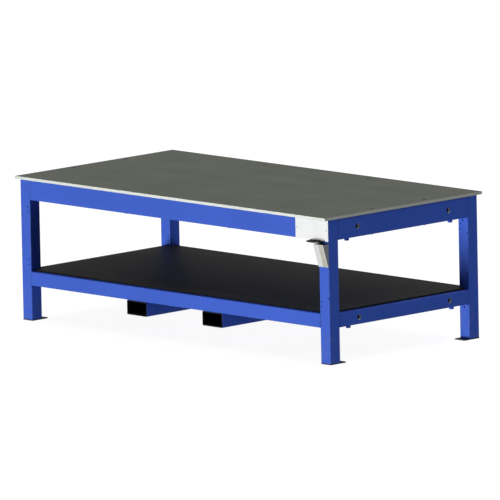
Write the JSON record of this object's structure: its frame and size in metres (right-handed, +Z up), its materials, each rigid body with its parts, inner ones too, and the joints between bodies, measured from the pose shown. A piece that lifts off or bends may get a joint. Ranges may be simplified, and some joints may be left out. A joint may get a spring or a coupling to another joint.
{
  "type": "assembly table",
  "caption": "Steel assembly table: thick plate top on a square-tube frame, black shelf, fork pockets, foot plates, and a bottle opener with a lift-off cap catcher.",
  "frame": {"origin": "on the floor, under the middle of the table top", "axes": "+X along the table to the right, +Y from the front to the back, +Z up"},
  "size_m": [2.4, 1.225, 0.8],
  "materials": {
    "frame_paint": "blue powder coat, satin, with a fine orange-peel texture",
    "top_steel": "bare rolled steel plate, dull grey with faint rolling marks, light on its cut edges",
    "shelf_board": "black film-faced plywood, satin, with a faint lengthwise texture",
    "foot_paint": "black paint, satin",
    "bolt_steel": "zinc-plated steel",
    "bush_steel": "bare turned steel",
    "plate_metal": "bare brushed aluminium sheet, very light",
    "opener_steel": "black-oxide steel, satin",
    "catcher_steel": "stainless sheet with a vertical brushed grain"
  },
  "bodies": {
    "table": {"bottle_opener": "opener_steel", "catcher_screw_left": "bolt_steel", "catcher_screw_right": "bolt_steel", "corner_plate": "plate_metal", "foot_plate_back_left": "foot_paint", "foot_plate_back_right": "foot_paint", "foot_plate_front_left": "foot_paint", "foot_plate_front_right": "foot_paint", "fork_pocket_left": "frame_paint", "fork_pocket_right": "frame_paint", "leg_back_left": "frame_paint", "leg_back_right": "frame_paint", "leg_front_left": "frame_paint", "leg_front_right": "frame_paint", "opener_screw_left": "opener_steel", "opener_screw_right": "opener_steel", "plate_rivet_left": "bolt_steel", "plate_rivet_right": "bolt_steel", "rail_bolt_left_lower_back": "frame_paint", "rail_bolt_left_lower_front": "frame_paint", "rail_bolt_left_upper_back": "frame_paint", "rail_bolt_left_upper_front": "frame_paint", "rail_bolt_right_lower_back": "frame_paint", "rail_bolt_right_lower_front": "frame_paint", "rail_bolt_right_upper_back": "frame_paint", "rail_bolt_right_upper_front": "frame_paint", "shelf_joist_left": "frame_paint", "shelf_joist_right": "frame_paint", "shelf_panel": "shelf_board", "shelf_rail_back": "frame_paint", "shelf_rail_front": "frame_paint", "shelf_rail_left": "frame_paint", "shelf_rail_right": "frame_paint", "side_bush_left_lower_back": "bush_steel", "side_bush_left_lower_front": "bush_steel", "side_bush_left_upper_back": "bush_steel", "side_bush_left_upper_front": "bush_steel", "side_bush_right_lower_back": "bush_steel", "side_bush_right_lower_front": "bush_steel", "side_bush_right_upper_back": "bush_steel", "side_bush_right_upper_front": "bush_steel", "top_bolt_back_rail_left": "bolt_steel", "top_bolt_back_rail_right": "bolt_steel", "top_bolt_front_rail_left": "bolt_steel", "top_bolt_front_rail_right": "bolt_steel", "top_bolt_left_rail_back": "bolt_steel", "top_bolt_left_rail_front": "bolt_steel", "top_bolt_right_rail_back": "bolt_steel", "top_bolt_right_rail_front": "bolt_steel", "top_joist_left": "frame_paint", "top_joist_right": "frame_paint", "top_plate": "top_steel", "top_rail_back": "frame_paint", "top_rail_front": "frame_paint", "top_rail_left": "frame_paint", "top_rail_right": "frame_paint"},
    "cap_catcher": {"cap_catcher": "catcher_steel"}
  },
  "joints": [
    {"name": "catcher_lift", "type": "slide", "parent": "table", "child": "cap_catcher", "axis": [0, 0, 1], "range_m": [0, 0.008]}
  ]
}
